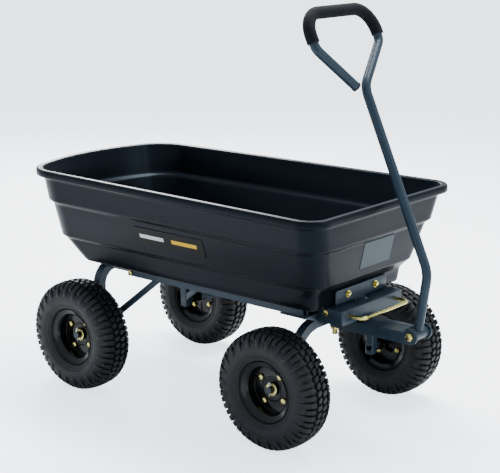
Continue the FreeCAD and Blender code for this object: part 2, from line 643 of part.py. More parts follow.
pivot = V(size("handle_x"), 0, size("handle_z"))
elbow = pivot + lean(size("foot_lean"), size("foot_len"))
neck = elbow + lean(-size("shaft_lean"), size("shaft_len"))


def on_loop(across, along):
    """A point of the loop, which lies in the shaft's own plane: across is to the left."""
    return neck + lean(-size("shaft_lean"), along) + V(0, across, 0)


tube_foot = pivot + lean(size("foot_lean"), size("sleeve_rad") - 2.0)
loop_right, loop_top, loop_left = 105.0, 165.0, -120.0
route = [tube_foot, elbow, neck, on_loop(loop_right - 3, 92), on_loop(loop_right + 2, loop_top),
         on_loop(loop_left, loop_top), on_loop(loop_left + 2, 92), on_loop(-30, 4)]
bends = [70, 45, 22, 56, 44, 28]
tube_path = bent_wire(route, bends)
outer_tube = rod(tube_path, size("tube_rad"))
bore_tube = rod(tube_path, size("tube_rad - tube_wall"))
sleeve_room = Part.makeCylinder(size("sleeve_rad"), 60, V(pivot.x, -30, pivot.z), V(0, 1, 0))
node("handle_tube", solid("handle_tube_shape", outer_tube.cut(bore_tube).cut(sleeve_room)))

# The foam covers the loop's top and both its corners.
grip_route = [on_loop(loop_right - 0.4, 106), on_loop(loop_right + 2, loop_top),
              on_loop(loop_left, loop_top), on_loop(loop_left + 1.3, 104)]
grip_path = bent_wire(grip_route, bends[3:5])
foam = rod(grip_path, size("foam_rad")).cut(outer_tube)
node("grip_foam", solid("grip_foam_shape", foam))

end, before = route[-1], route[-2]
outward = (end - before).normalize()
cap = Part.makeCylinder(size("tube_rad") + 0.8, 3, end, outward)
plug = Part.makeCylinder(size("tube_rad - tube_wall"), 12, end - outward * 12, outward)
node("tube_end_cap", solid("tube_end_cap_shape", cap.fuse(plug)))

# ---------------------------------------------------------------------------------------------
# Release wire, latch bar and return springs
# ---------------------------------------------------------------------------------------------
wire_points = [V(size("latch_x") - 6, -size("wire_half"), size("wire_z")),
               V(size("wire_front_x"), -size("wire_half"), size("wire_z")),
               V(size("wire_front_x"), size("wire_half"), size("wire_z")),
               V(size("latch_x") - 6, size("wire_half"), size("wire_z"))]
release_wire = rod(bent_wire(wire_points, [size("wire_bend")] * 2), size("wire_rad"))
node("release_wire", solid("release_wire_shape", release_wire))

bar = box("latch_thick", "2 * (wire_half + 12)", "16", "latch_x", "-(wire_half + 12)", "wire_z - 8")
nose = box("nose_long", "nose_wide", "nose_high", "latch_x - nose_long", "-nose_wide / 2",
           "wire_z - nose_high / 2")
leg_holes = [cylinder("wire_rad", "10", "latch_x - 3", "wire_half * %d" % side, "wire_z", "X")
             for side in (1, -1)]
node("latch_bar", cut(fuse(bar, nose), *leg_holes))

springs = []
spring_long = size("channel_front_x - channel_wall - latch_x - latch_thick") - 2.0
turns, steps = 5, 16
coil_points = [V(spring_long * i / (turns * steps),
                 size("spring_rad") * math.cos(2 * math.pi * i / steps),
                 size("spring_rad") * math.sin(2 * math.pi * i / steps))
               for i in range(turns * steps + 1)]
coil_curve = Part.BSplineCurve()
coil_curve.interpolate(coil_points)
coil = Part.Wire(coil_curve.toShape())
for side in (1, -1):
    spring = rod(coil, size("spring_wire_rad"))
    spring.translate(V(size("latch_x + latch_thick") + 1.0, side * size("wire_half"),
                       size("wire_z")))
    springs.append(spring)
node("latch_springs", solid("latch_springs_shape", Part.makeCompound(springs)))

# ---------------------------------------------------------------------------------------------
# Tub: stepped, draughted walls, a rear wall that bows out, and a thick lip round the rim
# ---------------------------------------------------------------------------------------------


def plan(level, front, rear, bulge, half_front, half_rear, front_rad, rear_rad, inset=0.0):
    """The tub's plan outline at one level: straight sides, round corners and a bowed rear."""
    front, rear, half_front, half_rear = (front - inset, rear + inset, half_front - inset,
                                          half_rear - inset)
    front_rad, rear_rad = max(front_rad - inset, 6.0), max(rear_rad - inset, 6.0)
    taper = math.atan2(half_front - half_rear, front - rear)
    edges, points = [], {}
    for side in (1, -1):
        corner = V(front, side * half_front, level)
        rear_corner = V(rear, side * half_rear, level)
        along = (rear_corner - corner).normalize()
        points[side] = {"front_in": V(front, side * (half_front - front_rad), level),
                        "front_side": corner + along * front_rad,
                        "rear_side": rear_corner - along * rear_rad,
                        "rear_in": V(rear - bulge * 0.45, side * (half_rear - rear_rad), level)}
        points[side]["front_mid"] = (corner + (points[side]["front_in"]
                                               + points[side]["front_side"] - corner * 2) * 0.29)
        points[side]["rear_mid"] = (V(rear - bulge * 0.12, side * half_rear, level)
                                    + (points[side]["rear_in"] + points[side]["rear_side"]
                                       - V(rear - bulge * 0.12, side * half_rear, level) * 2) * 0.27)
    left, right = points[1], points[-1]
    edges.append(Part.LineSegment(right["front_in"], left["front_in"]).toShape())
    edges.append(Part.Arc(left["front_in"], left["front_mid"], left["front_side"]).toShape())
    edges.append(Part.LineSegment(left["front_side"], left["rear_side"]).toShape())
    edges.append(Part.Arc(left["rear_side"], left["rear_mid"], left["rear_in"]).toShape())
    edges.append(Part.Arc(left["rear_in"], V(rear - bulge, 0, level), right["rear_in"]).toShape())
    edges.append(Part.Arc(right["rear_in"], right["rear_mid"], right["rear_side"]).toShape())
    edges.append(Part.LineSegment(right["rear_side"], right["front_side"]).toShape())
    edges.append(Part.Arc(right["front_side"], right["front_mid"], right["front_in"]).toShape())
    return Part.Wire(edges)


RIM = (size("rim_front_x"), size("rim_rear_x"), size("rim_bulge"), size("rim_front_half"),
       size("rim_rear_half"))
FLOOR_Z = size("tub_floor_z")
WALL = size("tub_wall")
# Each level of the wall, from the floor up: height, front x, rear x, bulge, half width in front
# and behind, and the two corner radii. Two steps narrow the tub on its way down.
LEVELS = [
    (FLOOR_Z, 328.0, -349.0, 16.0, 165.0, 168.0, 26.0, 32.0),
    (327.0, 332.0, -386.0, 30.0, 172.0, 176.0, 30.0, 38.0),
    (343.0, 350.0, -404.0, 36.0, 176.0, 180.0, 36.0, 42.0),
    (350.0, 357.0, -413.0, 42.0, 183.0, 187.0, 40.0, 48.0),
    (428.0, 375.0, -424.0, 48.0, 217.0, 206.0, 50.0, 62.0),
    (436.0, 384.0, -434.0, 48.0, 226.0, 214.0, 50.0, 68.0),
    (size("rim_z") - 4.0, RIM[0] - size("lip_wide"), RIM[1] + size("lip_wide"), RIM[2],
     RIM[3] - size("lip_wide"), RIM[4] - size("lip_wide"), 52.0, 74.0),
]
outer_wires = [plan(*level) for level in LEVELS]
outside = Part.makeLoft(outer_wires, True, True)
lip_plan = plan(size("rim_z - lip_high"), *RIM, 56.0, 80.0)
lip = Part.Face(lip_plan).extrude(V(0, 0, size("lip_high")))
# The inner wall follows the outer one, a wall's thickness in, and starts above the floor.
inner_levels = [(level[0] + WALL * 0.6,) + level[1:] for level in LEVELS]
inner_levels[0] = (FLOOR_Z + WALL,) + LEVELS[0][1:]
inner_levels[-1] = (size("rim_z") + 1.0,) + LEVELS[-1][1:]
inner_wires = [plan(*level, inset=WALL) for level in inner_levels]
hollow = Part.makeLoft(inner_wires, True, True)
tub_shape = outside.fuse(lip).removeSplitter().cut(hollow)

# Holes for the latch plate's two bolts, and for the two bracket bolts, whose heads are sunk in
# the floor.
plate_x, plate_low, plate_high = size("latch_x") - 6.0, 295.0, 325.0
bolt_y, bolt_z = 50.0, 311.0
for side in (1, -1):
    tub_shape = tub_shape.cut(Part.makeCylinder(size("bolt_hole_rad"), 40,
                                                V(plate_x - 30, side * bolt_y, bolt_z),
                                                V(1, 0, 0)))
    screw = V(size("pivot_x + screw_reach"), side * size("pivot_ear_y"), FLOOR_Z - 5)
    tub_shape = tub_shape.cut(Part.makeCylinder(size("bolt_hole_rad"), 20, screw))
    seat = V(screw.x, screw.y, FLOOR_Z + WALL - size("screw_head_high") - 0.1)
    tub_shape = tub_shape.cut(Part.makeCylinder(size("screw_head_rad") + 0.2, 10, seat))
# The catch plate is seated on a small flat boss across the foot of the front wall.
boss = Part.makeBox(16, 186, plate_high - plate_low, V(plate_x - 16, -93, plate_low))
boss = boss.cut(hollow)
for side in (1, -1):
    boss = boss.cut(Part.makeCylinder(size("bolt_hole_rad"), 40,
                                      V(plate_x - 30, side * bolt_y, bolt_z), V(1, 0, 0)))
tub_shape = tub_shape.fuse(boss).removeSplitter()
node("tub", solid("tub_shape", tub_shape))

# Catch plate: bolted to the boss, with a tab that drops through the channel's slot. The latch
# bar's nose enters the window in the tab.
plate_body = Part.makeBox(3, 184, plate_high - plate_low, V(plate_x, -92, plate_low))
tab = Part.makeBox(3, 26, plate_low - 263.0, V(plate_x, -13, 263.0))
window = Part.makeBox(5, size("nose_wide") + 1.2, size("nose_high") + 1.6,
                      V(plate_x - 1, -size("nose_wide") / 2 - 0.6,
                        size("wire_z - nose_high / 2") - 0.8))
plate_body = plate_body.makeFillet(6.0, [e for e in plate_body.Edges
                                         if abs(e.BoundBox.XLength - 3) < 0.01
                                         and e.BoundBox.ZMin > plate_high - 1])
catch = plate_body.fuse(tab).removeSplitter().cut(window)
for side in (1, -1):
    catch = catch.cut(Part.makeCylinder(size("bolt_hole_rad"), 40, V(plate_x - 30, side * bolt_y, bolt_z),
                                        V(1, 0, 0)))
node("latch_plate", solid("latch_plate_shape", catch))

plate_bolts = []
for side in (1, -1):
    y, z = "%g" % (side * bolt_y), "%g" % bolt_z
    face = "latch_x - 3"
    washer = cut(cylinder("8", "1.5", face, y, z, "X"), cylinder("3", "1.5", face, y, z, "X"))
    screw = fuse(hexagon("10", "5", "%s + 1.5" % face, y, z, "X"),
                 cylinder("bolt_rad", "20.5", "%s - 19" % face, y, z, "X"))
    nut = cut(hexagon("10", "5", "%s - 17" % face, y, z, "X"),
              cylinder("bolt_rad", "5", "%s - 17" % face, y, z, "X"))
    plate_bolts += [washer, screw, nut]
group("latch_plate_bolts", *plate_bolts)

# Labels: three thin blank stickers, one on the front wall and one on each side. The side walls
# twist a little, so each side sticker is a flat plate that stands just clear of the wall's twist.
label_gap, label_thick = size("label_gap"), size("label_thick")
low_level, high_level = LEVELS[3], LEVELS[4]
front_slope = math.atan2(high_level[1] - low_level[1], high_level[0] - low_level[0])
front_label = Part.makeBox(label_thick, size("front_label_wide"), size("front_label_high"),
                           V(label_gap, -size("front_label_wide / 2"), 0))
front_label.Placement = FreeCAD.Placement(
    V(low_level[1] + (size("front_label_z") - low_level[0]) * math.tan(front_slope),
      size("front_label_y"), size("front_label_z")),
    FreeCAD.Rotation(V(0, 1, 0), math.degrees(front_slope)))


def wall_y(x, z):
    """How far the middle band's side wall stands from the cart's middle plane."""
    found = []
    for level in (low_level, high_level):
        share = (x - level[1]) / (level[2] - level[1])
        found.append(level[4] + (level[5] - level[4]) * share)
    share = (z - low_level[0]) / (high_level[0] - low_level[0])
    return found[0] + (found[1] - found[0]) * share


labels = [front_label]
rear_x, front_x = size("side_label_rear"), size("side_label_front")
low_z, high_z = size("side_label_low"), size("side_label_high")
middle_x, middle_z = (rear_x + front_x) / 2, (low_z + high_z) / 2
twist = (wall_y(front_x, high_z) - wall_y(rear_x, high_z)
         - wall_y(front_x, low_z) + wall_y(rear_x, low_z))
for side in (1, -1):
    middle = V(middle_x, side * wall_y(middle_x, middle_z), middle_z)
    along = V(front_x - rear_x, side * (wall_y(front_x, middle_z) - wall_y(rear_x, middle_z)), 0)
    up = V(0, side * (wall_y(middle_x, high_z) - wall_y(middle_x, low_z)), high_z - low_z)
    outward = up.cross(along).normalize() * side
    middle += outward * (label_gap + abs(twist) / 4)
    corners = [middle + along * (u / 2) + up * (v / 2)
               for u, v in ((-1, -1), (1, -1), (1, 1), (-1, 1))]
    outline = Part.Face(Part.makePolygon(corners + corners[:1]))
    labels.append(outline.extrude(outward * label_thick))
node("labels", solid("labels_shape", Part.makeCompound(labels)))

# ---------------------------------------------------------------------------------------------
# Check every object, then write each sub-part
# ---------------------------------------------------------------------------------------------
doc.recompute()
for obj in doc.Objects:
    if "Invalid" in obj.State or "Error" in obj.State:
        raise RuntimeError("%s (%s) failed: %s" % (obj.Name, obj.Label, obj.State))
os.makedirs("parts", exist_ok=True)
for name, obj in NODES.items():
    if obj.Shape.isNull() or not obj.Shape.isValid() or obj.Shape.Volume <= 0:
        raise RuntimeError("%s has no valid shape" % name)
    obj.Shape.exportStep("parts/%s.step" % name)
    print("%-24s %d solids %10.0f mm3" % (name, len(obj.Shape.Solids), obj.Shape.Volume))
print(len(NODES), "sub-parts")
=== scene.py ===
import json
import math

import bmesh
import bpy
from mathutils import Matrix, Vector

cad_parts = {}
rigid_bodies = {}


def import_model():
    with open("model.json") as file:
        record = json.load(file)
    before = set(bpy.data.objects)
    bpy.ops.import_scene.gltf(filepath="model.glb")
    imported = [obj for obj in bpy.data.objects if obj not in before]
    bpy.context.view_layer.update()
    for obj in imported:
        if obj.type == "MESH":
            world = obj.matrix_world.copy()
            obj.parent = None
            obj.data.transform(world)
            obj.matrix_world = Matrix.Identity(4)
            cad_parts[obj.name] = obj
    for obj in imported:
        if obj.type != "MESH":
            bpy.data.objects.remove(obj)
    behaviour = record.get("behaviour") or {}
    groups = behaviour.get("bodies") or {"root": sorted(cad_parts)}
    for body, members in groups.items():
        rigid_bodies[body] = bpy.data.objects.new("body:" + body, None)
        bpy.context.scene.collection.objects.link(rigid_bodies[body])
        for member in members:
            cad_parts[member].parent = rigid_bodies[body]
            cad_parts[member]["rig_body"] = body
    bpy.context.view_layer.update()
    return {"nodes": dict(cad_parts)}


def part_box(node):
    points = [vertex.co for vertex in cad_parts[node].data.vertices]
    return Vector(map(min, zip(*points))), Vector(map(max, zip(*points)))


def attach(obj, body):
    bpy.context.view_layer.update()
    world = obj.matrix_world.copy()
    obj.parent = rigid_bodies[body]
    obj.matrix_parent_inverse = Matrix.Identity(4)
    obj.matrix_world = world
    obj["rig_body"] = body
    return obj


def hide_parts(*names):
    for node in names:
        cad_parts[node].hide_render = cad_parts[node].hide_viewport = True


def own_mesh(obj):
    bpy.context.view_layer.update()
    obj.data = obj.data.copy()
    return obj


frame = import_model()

# -----------------------------------------------------------------------------
# Studio. A pale seamless floor under a garden dump cart, lit by a wide overhead
# softbox, a tall one behind on the left and a weak fill from the handle's end.
# -----------------------------------------------------------------------------
MM = 0.001
# The colour sockets of a mix node, by number.
MIX_FIRST, MIX_SECOND, MIX_RESULT = 6, 7, 2


def colour(code):
    """An sRGB hex colour as linear red, green, blue and alpha."""
    parts = [int(code[i:i + 2], 16) / 255 for i in (1, 3, 5)]
    return [c / 12.92 if c <= 0.04045 else ((c + 0.055) / 1.055) ** 2.4 for c in parts] + [1.0]


def add(tree, kind, sockets=None, **settings):
    """Add a node with its settings, and set or link its sockets."""
    made = tree.nodes.new(kind)
    for name, value in settings.items():
        setattr(made, name, value)
    for socket, value in (sockets or {}).items():
        if isinstance(value, bpy.types.NodeSocket):
            tree.links.new(value, made.inputs[socket])
        else:
            made.inputs[socket].default_value = value
    return made


def finish_of(name, shades, patch_mm, roughness, grain_mm, grain_depth_mm, **surface):
    """A finish with soft patches of two shades, uneven gloss and a fine grain in relief."""
    made = bpy.data.materials.new(name)
    made.use_nodes = True
    tree = made.node_tree
    tree.nodes.clear()
    place = add(tree, "ShaderNodeTexCoord").outputs["Object"]
    patches = add(tree, "ShaderNodeTexNoise", {"Vector": place, "Scale": 1000 / patch_mm,
                                               "Detail": 3.0, "Roughness": 0.55})
    spread = add(tree, "ShaderNodeMapRange", {"Value": patches.outputs["Fac"], "From Min": 0.32,
                                              "From Max": 0.68})
    tint = add(tree, "ShaderNodeMix", {"Factor": spread.outputs["Result"],
                                       MIX_FIRST: colour(shades[0]),
                                       MIX_SECOND: colour(shades[1])}, data_type="RGBA")
    gloss = add(tree, "ShaderNodeMapRange", {"Value": patches.outputs["Fac"], "From Min": 0.3,
                                             "From Max": 0.7, "To Min": roughness[0],
                                             "To Max": roughness[1]})
    grain = add(tree, "ShaderNodeTexNoise", {"Vector": place, "Scale": 1000 / grain_mm,
                                             "Detail": 2.0, "Roughness": 0.6})
    relief = add(tree, "ShaderNodeBump", {"Height": grain.outputs["Fac"], "Strength": 1.0,
                                          "Distance": grain_depth_mm * MM})
    skin = add(tree, "ShaderNodeBsdfPrincipled", {"Base Color": tint.outputs[MIX_RESULT],
                                                  "Roughness": gloss.outputs["Result"],
                                                  "Normal": relief.outputs["Normal"], **surface})
    add(tree, "ShaderNodeOutputMaterial", {"Surface": skin.outputs["BSDF"]})
    return made


def clear_selection():
    """Leave edit mode's selection and the object selection empty."""
    if bpy.context.object and bpy.context.object.mode != "OBJECT":
        bpy.ops.object.mode_set(mode="OBJECT")
    bpy.ops.object.select_all(action="DESELECT")


def apply_bevel(piece, width, segments, angle=30, weighted=False):
    """Round a piece's edges with a bevel and apply it."""
    bevel = piece.modifiers.new("rounding", "BEVEL")
    bevel.width, bevel.segments = width, segments
    bevel.limit_method = "WEIGHT" if weighted else "ANGLE"
    bevel.angle_limit = math.radians(angle)
    bevel.use_clamp_overlap = not weighted
    clear_selection()
    piece.select_set(True)
    bpy.context.view_layer.objects.active = piece
    bpy.ops.object.modifier_apply(modifier=bevel.name)


def smooth(piece, angle=32):
    """Shade a piece smooth, but keep edges sharper than the angle."""
    clear_selection()
    piece.select_set(True)
    bpy.context.view_layer.objects.active = piece
    bpy.ops.object.shade_smooth_by_angle(angle=math.radians(angle))
    return piece


target = Vector((0.077, 0.0, 0.300))
camera_data = bpy.data.cameras.new("camera")
camera_data.lens, camera_data.sensor_width = 96.71, 36.0
camera_data.shift_x, camera_data.shift_y = -0.0351, 0.0730
camera = bpy.data.objects.new("camera", camera_data)
bpy.context.scene.collection.objects.link(camera)
camera.location = target + Vector((0.6092, -0.7462, 0.2688)) * 3.02569
camera.rotation_euler = (target - camera.location).to_track_quat("-Z", "Y").to_euler()
bpy.context.scene.camera = camera

clear_selection()
bpy.ops.mesh.primitive_plane_add(size=40, location=(0, 0, 0))
floor = bpy.context.object
floor.name = "floor"
paper = finish_of("studio_paper_matt", ("#fbfcfd", "#f6f8fa"), 900, (0.85, 0.95), 3, 0.01)
paper_skin = [n for n in paper.node_tree.nodes if n.type == "BSDF_PRINCIPLED"][0]
paper_skin.inputs["Emission Color"].default_value = colour("#f4f9ff")
# The floor glows for the camera alone, so it looks white but doesn't light the cart from below.
GLOW = 2.2
seen = add(paper.node_tree, "ShaderNodeLightPath").outputs["Is Camera Ray"]
glow = add(paper.node_tree, "ShaderNodeMath", {0: seen, 1: GLOW}, operation="MULTIPLY")
paper.node_tree.links.new(glow.outputs["Value"], paper_skin.inputs["Emission Strength"])
floor.data.materials.append(paper)

world = bpy.data.worlds.new("studio")
bpy.context.scene.world = world
world.use_nodes = True
world.node_tree.nodes["Background"].inputs["Color"].default_value = colour("#dde8f6")
world.node_tree.nodes["Background"].inputs["Strength"].default_value = 1.1


def softbox(name, place, aim, width, height, power):
    """A rectangular area light pointed at a spot."""
    light = bpy.data.lights.new(name, "AREA")
    light.shape, light.size, light.size_y = "RECTANGLE", width, height
    light.energy = power
    lamp = bpy.data.objects.new(name, light)
    bpy.context.scene.collection.objects.link(lamp)
    lamp.location = place
    lamp.rotation_euler = (Vector(aim) - Vector(place)).to_track_quat("-Z", "Y").to_euler()


softbox("overhead", (-0.2, 0.7, 2.6), (0, 0, 0.2), 2.6, 0.7, 165)
softbox("rear_left", (-2.2, 1.8, 1.9), (0, 0, 0.3), 0.8, 1.8, 80)
softbox("handle_end", (2.6, 0.3, 1.2), (0.2, 0, 0.3), 0.8, 1.4, 12)

# -----------------------------------------------------------------------------
# Chassis, axle arches and tongue. Square tube, pressed sheet and flat bar, welded
# and then powder coated in one dark slate grey. Bent and sawn edges are rounded.
# -----------------------------------------------------------------------------
# Powder coat: semi-gloss, with an orange peel about 1.5 mm across, drawn 3 mm so it shows.
powder_coat = finish_of("powder_coat_slate", ("#1e2a33", "#25333d"), 60, (0.32, 0.42), 3.0, 0.05,
                        **{"IOR": 1.5, "Specular IOR Level": 0.34,
                           "Specular Tint": colour("#d9ebf8")})


def from_frame(node, finish, rounding=0.0):
    """A merged copy of a CAD node, its long sharp edges rounded, that is shown in its place."""
    source = frame["nodes"][node]
    piece = bpy.data.objects.new(node + "_shown", source.data.copy())
    bpy.context.scene.collection.objects.link(piece)
    piece.data.materials.clear()
    piece.data.materials.append(finish)
    clear_selection()
    piece.select_set(True)
    bpy.context.view_layer.objects.active = piece
    bpy.ops.object.mode_set(mode="EDIT")
    bpy.ops.mesh.select_all(action="SELECT")
    bpy.ops.mesh.remove_doubles(threshold=0.00002)
    bpy.ops.mesh.dissolve_limited(angle_limit=math.radians(0.6))
    bpy.ops.object.mode_set(mode="OBJECT")
    if rounding:
        shape = bmesh.new()
        shape.from_mesh(piece.data)
        weight = shape.edges.layers.float.new("bevel_weight_edge")
        for edge in shape.edges:
            sharp = len(edge.link_faces) == 2 and edge.calc_face_angle(0) > math.radians(30)
            edge[weight] = 1.0 if sharp and edge.calc_length() > 3.0 * rounding * MM else 0.0
        shape.to_mesh(piece.data)
        shape.free()
        apply_bevel(piece, rounding * MM, 2, weighted=True)
    smooth(piece)
    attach(piece, source["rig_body"])
    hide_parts(node)
    return piece


for node, rounding in (("frame_rails", 2.0), ("rear_stringers", 1.5), ("rear_axle_arch", 3.0),
                       ("front_axle_arch", 3.0), ("rear_braces", 1.2), ("mid_crossmember", 1.2),
                       ("front_bolster", 2.0), ("latch_channel", 2.5), ("pivot_ears", 0.8),
                       ("tongue", 1.2), ("latch_plate", 0.6), ("pivot_brackets", 0.6),
                       ("handle_sleeve", 0.5)):
    from_frame(node, powder_coat, rounding)
from_frame("handle_tube", powder_coat)

# -----------------------------------------------------------------------------
# Fasteners. Bolts, nuts, washers, the kingpin and the release wire are steel with
# a yellow zinc plate; the cotter pins, pivot pins and latch bar are bright zinc.
# -----------------------------------------------------------------------------
# Yellow chromate over zinc: a gold metal with a faint green and pink bloom between patches.
yellow_zinc = finish_of("yellow_zinc_plate", ("#c6b850", "#e0d694"), 9, (0.18, 0.34), 0.8, 0.02,
                        Metallic=1.0)
# Bright zinc: a grey metal, slightly clouded.
bright_zinc = finish_of("bright_zinc_plate", ("#8b8f92", "#a2a6a8"), 12, (0.28, 0.42), 0.8, 0.02,
                        Metallic=1.0)
# Pressed bearing cups and spring wire: bare, lightly oiled steel.
bearing_steel = finish_of("bearing_steel_pressed", ("#8f9294", "#a3a6a8"), 6, (0.2, 0.32), 0.6,
                          0.01, Metallic=1.0)
for node in ("rail_bolts", "channel_bolts", "kingpin", "kingpin_washers", "handle_pivot_bolt",
             "handle_pivot_nut", "front_axle_washers", "rear_axle_washers", "latch_plate_bolts"):
    from_frame(node, yellow_zinc, 0.5)
# Axle ends left as turned, oiled dark steel.
axle_steel = finish_of("steel_turned_oiled", ("#34373b", "#45494e"), 10, (0.32, 0.44), 0.8, 0.02,
                       Metallic=1.0)
for node in ("front_spindles", "rear_spindles"):
    from_frame(node, axle_steel, 0.5)
for node in ("front_cotter_pins", "rear_cotter_pins", "pivot_pins", "pivot_bracket_bolts",
             "latch_bar"):
    from_frame(node, bright_zinc, 0.5)
from_frame("release_wire", yellow_zinc)
springs = from_frame("latch_springs", bearing_steel)
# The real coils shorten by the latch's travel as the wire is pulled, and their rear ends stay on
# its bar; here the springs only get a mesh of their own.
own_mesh(springs)

# -----------------------------------------------------------------------------
# Wheels. Split steel rims, gloss black, bolted round a hub with four zinc bolts;
# tubed rubber tyres with two rows of centre blocks and lugs over each shoulder.
# -----------------------------------------------------------------------------
# Gloss black stove enamel.
enamel = finish_of("enamel_black_gloss", ("#040405", "#060708"), 40, (0.1, 0.18), 4.0, 0.03,
                   **{"IOR": 1.5, "Specular IOR Level": 0.28})
# Moulded rubber: nearly black, dull, with a slight bloom; its 0.3 mm grain is drawn 1.5 mm.
rubber = finish_of("rubber_moulded", ("#08090b", "#0d0f12"), 25, (0.42, 0.58), 1.5, 0.08,
                   **{"IOR": 1.52, "Specular IOR Level": 0.3})
# Points round a lathed ring.
ROUND = 96


def wrap(name, rings, across=False, fill=False):
    """A grid wrapped into a skin through rings of points, then merged, and closed at its ends."""
    loops = [list(ring) + [ring[0]] for ring in rings]
    if across:
        loops.append(loops[0])
    clear_selection()
    bpy.ops.mesh.primitive_grid_add(x_subdivisions=len(loops[0]) - 1,
                                    y_subdivisions=len(loops) - 1, size=1)
    piece = bpy.context.object
    piece.name = piece.data.name = name
    spots = [number for loop in loops for point in loop for number in point]
    piece.data.vertices.foreach_set("co", spots)
    piece.data.update()
    bpy.ops.object.mode_set(mode="EDIT")
    bpy.ops.mesh.select_all(action="SELECT")
    bpy.ops.mesh.remove_doubles(threshold=0.000001)
    if fill:
        bpy.ops.mesh.select_all(action="DESELECT")
        bpy.ops.mesh.select_non_manifold()
        bpy.ops.mesh.fill_holes(sides=0)
        bpy.ops.mesh.select_all(action="SELECT")
    bpy.ops.mesh.normals_make_consistent(inside=False)
    bpy.ops.object.mode_set(mode="OBJECT")
    return piece


def lathe(name, outline):
    """A closed ring turned about the Y axis, from (radius, y) corners in millimetres."""
    rings = []
    for rad, y in outline:
        rings.append([(rad * MM * math.cos(2 * math.pi * i / ROUND), y * MM,
                       rad * MM * math.sin(2 * math.pi * i / ROUND)) for i in range(ROUND)])
    return wrap(name, rings, across=True)


def join(name, *pieces):
    """Join pieces into one mesh."""
    clear_selection()
    for piece in pieces:
        piece.select_set(True)
    bpy.context.view_layer.objects.active = pieces[0]
    bpy.ops.object.join()
    joined = bpy.context.object
    joined.name = joined.data.name = name
    return joined


def turned_copy(piece, matrix, name):
    """A copy of a piece, with its own mesh, whose vertices are moved by the matrix."""
    twin = bpy.data.objects.new(name, piece.data.copy())
    bpy.context.scene.collection.objects.link(twin)
    twin.data.transform(matrix)
    return twin


half_section = [(57.0, 14.0), (58.0, 24.0), (66.8, 25.0), (67.0, 32.0), (69.0, 35.0), (71.5, 36.4),
                (73.0, 36.2), (74.6, 38.2), (76.6, 38.8), (78.0, 38.4), (80.5, 40.0), (85.0, 41.2),
                (91.0, 41.8), (97.0, 41.6), (104.0, 40.4), (110.0, 37.8), (115.0, 33.8),
                (119.0, 28.2), (122.0, 20.0), (123.4, 10.0)]
section = half_section + [(123.8, 0.0)] + [(rad, -y) for rad, y in reversed(half_section)]
carcass = lathe("carcass", section)


def lug(name, stations, turn, twist=0.0):
    """A tread lug: (top radius, top y, root radius, root y, half length) at each station."""
    rings = []
    for index, (top_rad, top_y, root_rad, root_y, half) in enumerate(stations):
        lean = turn + twist * index
        ring = []
        for rad, y, reach in ((root_rad, root_y, half + 1.4), (root_rad, root_y, -half - 1.4),
                              (top_rad, top_y, -half), (top_rad, top_y, half)):
            angle = math.radians(lean) + reach / rad
            ring.append((rad * MM * math.cos(angle), y * MM, rad * MM * math.sin(angle)))
        rings.append(ring)
    return wrap(name, rings, fill=True)


PITCHES = 26
pitch = 360 / PITCHES
lugs = []
for side in (1, -1):
    shift = 0.0 if side > 0 else pitch / 4
    for half_pitch, reach in ((0.0, 0.0), (0.5, 1.6)):
        block = [(129.9, side * 2.2, 118.0, side * 1.6, 4.6),
                 (129.8, side * (7.5 + reach), 118.0, side * (7.5 + reach), 5.6),
                 (129.3, side * (13.0 + reach), 117.5, side * (13.6 + reach), 4.8)]
        lugs.append(lug("centre_block", block, shift + pitch * half_pitch, twist=side * 0.9))
    long = [(129.0, side * 19.0, 117.0, side * 18.0, 5.2),
            (127.2, side * 27.0, 115.0, side * 24.0, 5.6),
            (121.8, side * 34.5, 111.0, side * 29.5, 5.6),
            (113.5, side * 39.8, 105.0, side * 34.5, 5.2),
            (104.0, side * 42.2, 99.0, side * 37.0, 4.6),
            (97.0, side * 42.6, 95.0, side * 38.0, 3.8)]
    lugs.append(lug("long_lug", long, shift + pitch * 0.25))
    short = [(129.0, side * 20.5, 117.0, side * 19.5, 4.6),
             (127.0, side * 27.6, 115.0, side * 24.5, 5.0),
             (122.2, side * 34.0, 112.0, side * 29.5, 4.8),
             (116.0, side * 38.2, 107.0, side * 33.5, 4.2)]
    lugs.append(lug("short_lug", short, shift + pitch * 0.75))
tread = join("tread", *lugs)
apply_bevel(tread, 0.9 * MM, 1)
ring_of_lugs = [turned_copy(tread, Matrix.Rotation(math.radians(pitch * i), 4, "Y"), "lugs")
                for i in range(PITCHES)]
bpy.data.objects.remove(tread)
tyre = join("tyre", carcass, *ring_of_lugs)
tyre.data.materials.append(rubber)
smooth(tyre, 38)

# One rim half: flat web, dished wall, bead seat and rolled flange.
rim_section = [(14.5, 0.3), (20.0, 0.3), (24.0, 0.3), (52.0, 0.3), (52.0, 12.0), (56.6, 16.2),
               (56.6, 25.0), (65.9, 28.2), (65.9, 32.6), (63.9, 32.6), (63.9, 30.4), (54.2, 26.8),
               (50.2, 21.8), (50.2, 2.6), (27.5, 2.6), (25.5, 3.8), (22.5, 3.8), (20.5, 2.6),
               (14.5, 2.6)]
rim = lathe("rim", rim_section)
apply_bevel(rim, 0.9 * MM, 3, 20)
rim.data.materials.append(enamel)
smooth(rim, 40)

